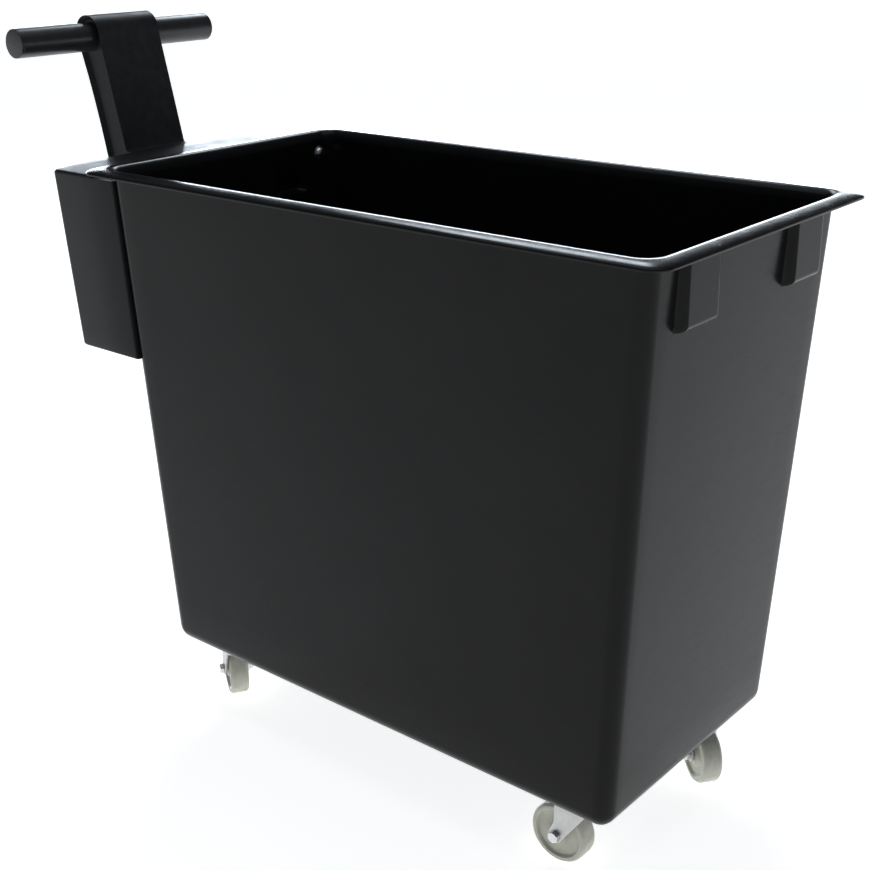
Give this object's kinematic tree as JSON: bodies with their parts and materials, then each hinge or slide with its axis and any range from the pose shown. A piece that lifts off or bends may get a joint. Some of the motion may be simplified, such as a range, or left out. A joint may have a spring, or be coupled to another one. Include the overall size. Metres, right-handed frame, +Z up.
{
  "type": "mobile open-top tote truck",
  "caption": "Deep tapered open-top plastic tote on swivel castors, with a bolted-on moulded handle unit and round push bar at one end.",
  "frame": {"origin": "on the floor, under the middle of the overall length and width", "axes": "+X towards the free end, away from the push handle; +Y to the left when facing +X; +Z up"},
  "size_m": [1.0447, 0.4438, 0.9183],
  "materials": {
    "tub_plastic": "semi-gloss moulded polyethylene",
    "handle_plastic": "satin moulded polyethylene",
    "grip_plastic": "satin black",
    "bright_zinc": "bright zinc plate",
    "zinc_steel": "zinc-plated pressed steel",
    "insert_brass": "machined",
    "wheel_nylon": "moulded nylon"
  },
  "bodies": {
    "chassis": {"tub": "tub_plastic", "handle_housing": "handle_plastic", "grip_bar": "grip_plastic", "grip_plug_left": "grip_plastic", "grip_plug_right": "grip_plastic", "handle_bolt_1": "bright_zinc", "handle_insert_1": "insert_brass", "handle_bolt_2": "bright_zinc", "handle_insert_2": "insert_brass", "handle_bolt_3": "bright_zinc", "handle_insert_3": "insert_brass", "handle_bolt_4": "bright_zinc", "handle_insert_4": "insert_brass", "castor_front_right_plate": "zinc_steel", "castor_front_right_race": "zinc_steel", "castor_front_right_bolt_1": "bright_zinc", "castor_front_right_bolt_2": "bright_zinc", "castor_front_right_bolt_3": "bright_zinc", "castor_front_right_bolt_4": "bright_zinc", "castor_front_left_plate": "zinc_steel", "castor_front_left_race": "zinc_steel", "castor_front_left_bolt_1": "bright_zinc", "castor_front_left_bolt_2": "bright_zinc", "castor_front_left_bolt_3": "bright_zinc", "castor_front_left_bolt_4": "bright_zinc", "castor_rear_right_plate": "zinc_steel", "castor_rear_right_race": "zinc_steel", "castor_rear_right_bolt_1": "bright_zinc", "castor_rear_right_bolt_2": "bright_zinc", "castor_rear_right_bolt_3": "bright_zinc", "castor_rear_right_bolt_4": "bright_zinc", "castor_rear_left_plate": "zinc_steel", "castor_rear_left_race": "zinc_steel", "castor_rear_left_bolt_1": "bright_zinc", "castor_rear_left_bolt_2": "bright_zinc", "castor_rear_left_bolt_3": "bright_zinc", "castor_rear_left_bolt_4": "bright_zinc"},
    "swivel_front_right": {"castor_front_right_fork": "zinc_steel", "castor_front_right_bush": "zinc_steel", "castor_front_right_axle_bolt": "bright_zinc", "castor_front_right_axle_nut": "bright_zinc"},
    "wheel_front_right": {"castor_front_right_wheel": "wheel_nylon"},
    "swivel_front_left": {"castor_front_left_fork": "zinc_steel", "castor_front_left_bush": "zinc_steel", "castor_front_left_axle_bolt": "bright_zinc", "castor_front_left_axle_nut": "bright_zinc"},
    "wheel_front_left": {"castor_front_left_wheel": "wheel_nylon"},
    "swivel_rear_right": {"castor_rear_right_fork": "zinc_steel", "castor_rear_right_bush": "zinc_steel", "castor_rear_right_axle_bolt": "bright_zinc", "castor_rear_right_axle_nut": "bright_zinc"},
    "wheel_rear_right": {"castor_rear_right_wheel": "wheel_nylon"},
    "swivel_rear_left": {"castor_rear_left_fork": "zinc_steel", "castor_rear_left_bush": "zinc_steel", "castor_rear_left_axle_bolt": "bright_zinc", "castor_rear_left_axle_nut": "bright_zinc"},
    "wheel_rear_left": {"castor_rear_left_wheel": "wheel_nylon"}
  },
  "joints": [
    {"name": "front_right_swivel", "type": "hinge", "parent": "chassis", "child": "swivel_front_right", "pos_m": [0.39563, -0.128, 0.09], "axis": [0, 0, 1], "continuous": true},
    {"name": "front_right_roll", "type": "hinge", "parent": "swivel_front_right", "child": "wheel_front_right", "pos_m": [0.36963, -0.128, 0.0375], "axis": [0, -1, 0], "continuous": true},
    {"name": "front_left_swivel", "type": "hinge", "parent": "chassis", "child": "swivel_front_left", "pos_m": [0.39563, 0.128, 0.09], "axis": [0, 0, 1], "continuous": true},
    {"name": "front_left_roll", "type": "hinge", "parent": "swivel_front_left", "child": "wheel_front_left", "pos_m": [0.41639, 0.11235, 0.0375], "axis": [0.6018, 0.7986, 0], "continuous": true},
    {"name": "rear_right_swivel", "type": "hinge", "parent": "chassis", "child": "swivel_rear_right", "pos_m": [-0.18837, -0.128, 0.09], "axis": [0, 0, 1], "continuous": true},
    {"name": "rear_right_roll", "type": "hinge", "parent": "swivel_rear_right", "child": "wheel_rear_right", "pos_m": [-0.21018, -0.11384, 0.0375], "axis": [-0.5446, -0.8387, 0], "continuous": true},
    {"name": "rear_left_swivel", "type": "hinge", "parent": "chassis", "child": "swivel_rear_left", "pos_m": [-0.18837, 0.128, 0.09], "axis": [0, 0, 1], "continuous": true},
    {"name": "rear_left_roll", "type": "hinge", "parent": "swivel_rear_left", "child": "wheel_rear_left", "pos_m": [-0.21281, 0.13689, 0.0375], "axis": [-0.342, -0.9397, 0], "continuous": true}
  ]
}
